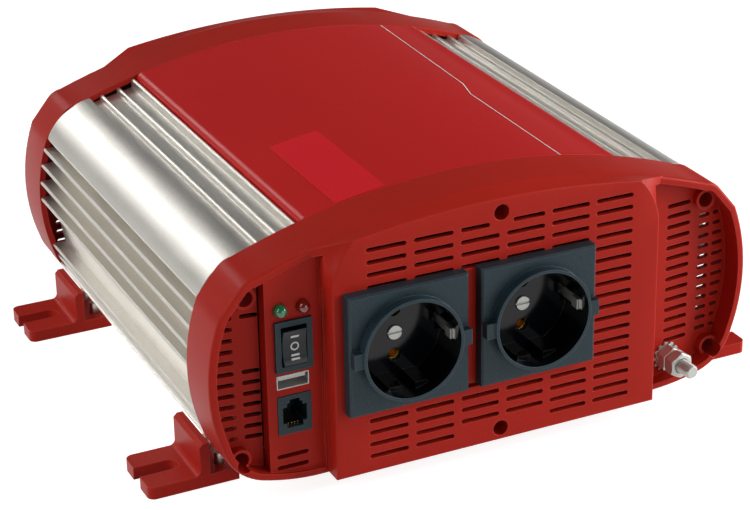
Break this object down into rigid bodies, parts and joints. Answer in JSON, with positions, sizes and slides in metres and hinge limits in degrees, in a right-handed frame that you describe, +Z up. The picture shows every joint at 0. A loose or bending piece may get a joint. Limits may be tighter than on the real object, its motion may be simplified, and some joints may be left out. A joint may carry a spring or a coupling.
{
  "type": "power inverter",
  "caption": "Red and aluminium mains inverter: finned side profiles, vented end caps, two round-recess sockets, tipping switch, rear fan and slotted feet.",
  "frame": {"origin": "under the middle of the whole object, in the plane of the feet's undersides", "axes": "+X to the right seen from the socket side, +Y from the socket side to the fan side, +Z up"},
  "size_m": [0.272, 0.2564, 0.112],
  "materials": {
    "red_moulding": "satin",
    "red_cover": "satin",
    "blasted_aluminium": "satin",
    "slate_plastic": "satin",
    "black_plastic": "satin",
    "rocker_black": "gloss",
    "green_lens": "gloss",
    "red_lens": "gloss",
    "plated_steel": "polished",
    "zinc_steel": "satin",
    "brass_contact": "satin",
    "white_plastic": "satin",
    "red_insulator": "satin",
    "black_insulator": "satin",
    "circuit_board": "satin",
    "ferrite": "matte",
    "winding_copper": "satin",
    "capacitor_sleeve": "satin",
    "fuse_plastic": "gloss",
    "insulation": "matte"
  },
  "bodies": {
    "housing": {"base_plate": "blasted_aluminium", "blade_fuses": "fuse_plastic", "board_posts": "zinc_steel", "board_screws": "zinc_steel", "bus_capacitors": "capacitor_sleeve", "control_board": "circuit_board", "data_jack": "black_plastic", "earth_nuts": "plated_steel", "earth_star_washer": "plated_steel", "earth_stud": "plated_steel", "fan_frame": "black_plastic", "fan_guard": "plated_steel", "fan_screws": "zinc_steel", "foot_screws": "zinc_steel", "front_cap": "red_moulding", "front_cap_screws": "zinc_steel", "front_left_foot": "red_moulding", "front_right_foot": "red_moulding", "green_lamp": "green_lens", "input_capacitors": "capacitor_sleeve", "insulating_sheet": "insulation", "jack_contacts": "brass_contact", "left_contact_sleeves": "brass_contact", "left_earth_clips": "plated_steel", "left_heat_bar": "blasted_aluminium", "left_side_profile": "blasted_aluminium", "left_socket_housing": "slate_plastic", "left_transistors": "black_plastic", "main_board": "circuit_board", "negative_busbar": "brass_contact", "negative_insulator": "black_insulator", "negative_stud": "brass_contact", "output_choke": "winding_copper", "positive_busbar": "brass_contact", "positive_insulator": "red_insulator", "positive_stud": "brass_contact", "rear_cap": "red_moulding", "rear_cap_screws": "zinc_steel", "rear_left_foot": "red_moulding", "rear_right_foot": "red_moulding", "red_lamp": "red_lens", "right_contact_sleeves": "brass_contact", "right_earth_clips": "plated_steel", "right_heat_bar": "blasted_aluminium", "right_side_profile": "blasted_aluminium", "right_socket_housing": "slate_plastic", "right_transistors": "black_plastic", "socket_screws": "plated_steel", "switch_housing": "black_plastic", "switch_terminals": "brass_contact", "terminal_nuts": "plated_steel", "top_cover": "red_cover", "transformer_coils": "winding_copper", "transformer_cores": "ferrite", "usb_shell": "plated_steel", "usb_tongue": "white_plastic"},
    "switch_rocker": {"rocker": "rocker_black"},
    "fan_wheel": {"fan_rotor": "black_plastic", "fan_shaft": "zinc_steel"}
  },
  "joints": [
    {"name": "rocker_tilt", "type": "hinge", "parent": "housing", "child": "switch_rocker", "pos_m": [-0.0831, -0.10645, 0.0641], "axis": [1, 0, 0], "range_deg": [-10, 10]},
    {"name": "fan_spin", "type": "hinge", "parent": "housing", "child": "fan_wheel", "pos_m": [0, 0.11115, 0.0585], "axis": [0, 1, 0], "continuous": true}
  ]
}
